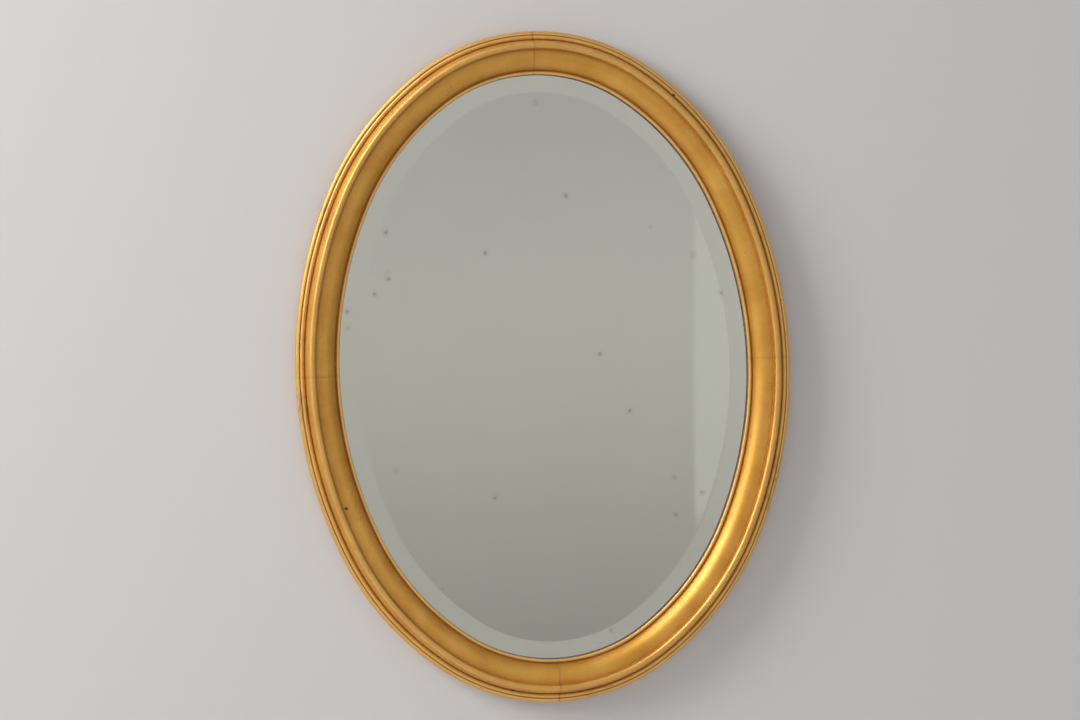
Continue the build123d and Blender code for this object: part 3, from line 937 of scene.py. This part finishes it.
spin = add_node(screw_tree, "FunctionNodeRandomValue", {"data_type": "FLOAT"}, Seed=start["Seed"])
spin.inputs[3].default_value = math.pi
spin_angle = add_node(screw_tree, "ShaderNodeCombineXYZ", Z=spin.outputs[1])
lying = add_node(screw_tree, "GeometryNodeInstanceOnPoints", Points=start["Geometry"],
                 Instance=slotted.outputs[0], Rotation=(-math.pi / 2, 0.0, 0.0))
spun = add_node(screw_tree, "GeometryNodeRotateInstances", Instances=lying.outputs[0],
                Rotation=spin_angle.outputs[0], Local_Space=True)
finish_tree(screw_tree, spun.outputs[0], start["Finish"], end)

# %% Screws in their places
button_directions = [60, 16, 344, 300, 240, 196, 164, 120]
button_length, button_width, button_reach, button_thickness = 0.028, 0.009, 0.010, 0.0012
button_play, plate_thickness, board_clearance = 0.0001, 0.001, 0.001
pivot_out = button_length - button_width / 2 - button_reach - board_clearance + glass_clearance
button_seats = []
for degrees in button_directions:
    spot_on_edge, outward = edge_point(math.radians(degrees))
    pivot = spot_on_edge + outward * pivot_out
    button_seats.append((pivot.x, back_y + button_thickness + 2 * button_play, pivot.y))
low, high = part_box("hanger_screws")
hanger_z = (low.z + high.z) / 2
hanger_seats = [(side * ((high.x - low.x) / 2 - head_radius), back_y + plate_thickness, hanger_z)
                for side in (-1, 1)]
for name, seats, seed in (("turn_button_screws", button_seats, 3), ("hanger_screws", hanger_seats, 8)):
    screws = made_by_tree("slotted_" + name, line_of(name + "_seats", seats, False), screw_tree,
                          Screw=screw_form, Seed=seed, Finish=screw_brass)
    finish_shell(screws.data, sharp_degrees=35)
    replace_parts(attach(screws, "mirror"), name)
    print(screws.name, len(screws.data.polygons), "faces")
bpy.data.objects.remove(screw_form)

# %% [markdown]
# ## Stage
# A plain pale wall stands just behind the pads, because a mirror hangs. Seen from behind it is clear, so
# the back can be looked at, and it lets shadow and bounce rays through, so that the lamps behind it light
# that back. The floor is far below.

# %% Wall and floor
wall_paint, tree, shader = new_material(
    "wall_paint", Base_Color=linear(207, 206, 206), Roughness=0.9, Specular_IOR_Level=0.1,
)
clear = add_node(tree, "ShaderNodeBsdfTransparent")
behind = add_node(tree, "ShaderNodeNewGeometry").outputs["Backfacing"]
ray = add_node(tree, "ShaderNodeLightPath").outputs
passing = largest(tree, behind, ray["Is Shadow Ray"], ray["Is Diffuse Ray"])
both = add_node(tree, "ShaderNodeMixShader", _0=passing, _1=shader.outputs[0], _2=clear.outputs[0])
tree.links.new(both.outputs[0], tree.nodes["Material Output"].inputs[0])
floor_paint, tree, shader = new_material("floor_paint", Base_Color=linear(216, 214, 212), Roughness=0.9)


def flat_sheet(name, corners, material):
    sheet = mesh_object(name, corners, [], [tuple(range(len(corners)))])
    sheet.data.materials.append(material)


pad_gap, floor_z, wall_z, half_wide, half_deep = 0.0002, -1.15, 3, 4, 5
wall_y = cad_box[1][1] + pad_gap
to_and_fro = ((-half_wide, 0), (half_wide, 0), (half_wide, 1), (-half_wide, 1))
flat_sheet("wall", [(x, wall_y, (floor_z, wall_z)[far]) for x, far in to_and_fro], wall_paint)
flat_sheet("floor", [(x, (-half_deep, half_deep)[far], floor_z) for x, far in to_and_fro], floor_paint)

# %% [markdown]
# ## Light
# A large soft lamp to the upper left gives light and shadow, as a window would. It makes no glints: the gold
# and the brass shine from a soft glow in the same direction, which belongs to the room that glossy rays
# meet. The room itself is the world, and it answers each kind of ray: pale for the camera, and for the
# mirror, behind its glass, a grey room with a paler upright strip to the right. Two lamps behind the wall
# serve the views of the back.

# %% Lamps
def soft_lamp(name, place, wide, high, watts, colour=(1.0, 1.0, 1.0), glints=True):
    """A flat lamp that faces the middle of the mirror and doesn't show through the glass."""
    data = bpy.data.lights.new(name, "AREA")
    data.shape = "RECTANGLE"
    data.size, data.size_y, data.energy, data.color = wide, high, watts, colour
    lamp = in_scene(name, data)
    aimed = Vector(place).to_track_quat("Z", "Y").to_matrix().to_4x4()
    lamp.matrix_world = Matrix.Translation(place) @ aimed
    lamp.visible_transmission = False
    lamp.visible_glossy = glints


soft_lamp("window", (-2.65, -1.35, 1.5), 1.3, 1.8, 84, (1.0, 0.985, 0.965), glints=False)
soft_lamp("fill", (1.9, -2.6, 0.4), 2.2, 2.2, 5, (0.97, 0.985, 1.0))
soft_lamp("rear_left", (-1.2, 2.4, 1.2), 1.4, 1.4, 38)
soft_lamp("rear_right", (1.4, 2.4, 0.3), 1.4, 1.4, 24)

# %% The room as light
room = bpy.data.worlds.new("room")
scene.world = room
room.use_nodes = True
tree = room.node_tree
sky = tree.nodes["Background"]
direction = add_node(tree, "ShaderNodeTexCoord").outputs["Generated"]
parts = add_node(tree, "ShaderNodeSeparateXYZ", Vector=direction).outputs
ray = add_node(tree, "ShaderNodeLightPath").outputs
from_below = remap(tree, parts["Z"], -0.20, 0.03, easing="SMOOTHSTEP")
from_above = remap(tree, parts["Z"], -0.01, 0.14, easing="SMOOTHSTEP")
mirror_room = mix_colours(tree, from_below, linear(148, 148, 143), linear(205, 203, 200))
mirror_room = mix_colours(tree, from_above, mirror_room, linear(186, 182, 186))
upright_line = minus(tree, parts["X"], times(tree, parts["Z"], 0.041))
strip_low = remap(tree, upright_line, 0.181, 0.183)
strip_high = remap(tree, upright_line, 0.20, 0.26, 1.0, 0.35)
strip_top = remap(tree, parts["Z"], 0.040, 0.060, 1.0, 0.0)
strip_foot = remap(tree, parts["Z"], -0.085, -0.075)
strip = times(tree, times(tree, strip_low, strip_high), times(tree, strip_top, strip_foot))
mirror_room = glaze(tree, strip, 0.5, mirror_room, linear(226, 226, 222))
outskirts = remap(tree, distance_from(tree, parts["X"], 0.12), 0.14, 0.30)
mirror_room = glaze(tree, outskirts, 0.5, mirror_room, linear(206, 204, 198))
rightwards = remap(tree, parts["X"], -0.9, 0.8)
soft_room = mix_colours(tree, rightwards, linear(216, 216, 216), linear(150, 149, 150))
gold_room = mix_colours(tree, rightwards, linear(206, 204, 202), linear(188, 187, 186))
towards_window = Vector((-0.79, -0.28, 0.60)).normalized()
window_way = add_node(tree, "ShaderNodeVectorMath", {"operation": "DOT_PRODUCT"}, _0=direction,
                      _1=towards_window).outputs["Value"]
glow = remap(tree, window_way, 0.89, 0.985, easing="SMOOTHSTEP")
gold_room = mix_colours(tree, glow, gold_room, (7.0, 6.8, 6.4, 1.0))
shining = mix_colours(tree, ray["Is Glossy Ray"], soft_room, gold_room)
pale = mix_colours(tree, ray["Is Camera Ray"], shining, linear(222, 221, 220))
seen = mix_colours(tree, ray["Is Transmission Ray"], pale, mirror_room)
tree.links.new(seen, sky.inputs["Color"])
sky.inputs["Strength"].default_value = 1.0
print("stage and lights ready")
